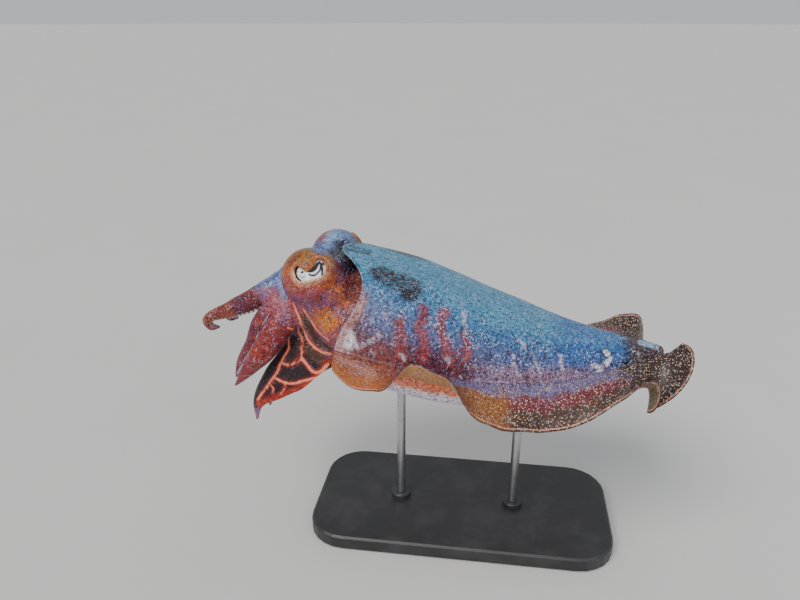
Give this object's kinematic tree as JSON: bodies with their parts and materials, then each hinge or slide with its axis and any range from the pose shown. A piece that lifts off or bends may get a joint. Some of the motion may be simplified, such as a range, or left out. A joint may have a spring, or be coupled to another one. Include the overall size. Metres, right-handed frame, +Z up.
{
  "type": "common cuttlefish model on a display stand",
  "caption": "Life-size still model of a common cuttlefish swimming level with lowered arms and rippled fins, held on a flat base by short rods.",
  "frame": {"origin": "middle of the stand's flat underside", "axes": "+Z up, -X towards the animal's head, -Y its left side"},
  "size_m": [0.3653, 0.1928, 0.2373],
  "materials": {
    "mantle_skin": "moist skin, blue with pale speckles",
    "fin_skin": "moist skin, brown with white dots",
    "head_skin": "moist skin, red-brown",
    "eye_white": "wet eye",
    "funnel_skin": "pale moist skin",
    "base_black": "satin black",
    "rod_steel": "brushed"
  },
  "bodies": {
    "root": {"mantle": "mantle_skin", "fin_left_front": "fin_skin", "fin_left_middle": "fin_skin", "fin_left_rear": "fin_skin", "arm_left_1_root": "head_skin", "arm_left_1_middle": "head_skin", "arm_left_1_tip": "head_skin", "arm_left_2_root": "head_skin", "arm_left_2_middle": "head_skin", "arm_left_2_tip": "head_skin", "arm_left_3_root": "head_skin", "arm_left_3_middle": "head_skin", "arm_left_3_tip": "head_skin", "arm_left_4_root": "head_skin", "arm_left_4_middle": "head_skin", "arm_left_4_tip": "head_skin", "eye_left": "eye_white", "fin_right_front": "fin_skin", "fin_right_middle": "fin_skin", "fin_right_rear": "fin_skin", "arm_right_1_root": "head_skin", "arm_right_1_middle": "head_skin", "arm_right_1_tip": "head_skin", "arm_right_2_root": "head_skin", "arm_right_2_middle": "head_skin", "arm_right_2_tip": "head_skin", "arm_right_3_root": "head_skin", "arm_right_3_middle": "head_skin", "arm_right_3_tip": "head_skin", "arm_right_4_root": "head_skin", "arm_right_4_middle": "head_skin", "arm_right_4_tip": "head_skin", "eye_right": "eye_white", "head": "head_skin", "funnel": "funnel_skin", "buccal_membrane": "funnel_skin", "stand_base": "base_black", "stand_rod_front": "rod_steel", "stand_rod_rear": "rod_steel"}
  },
  "joints": []
}
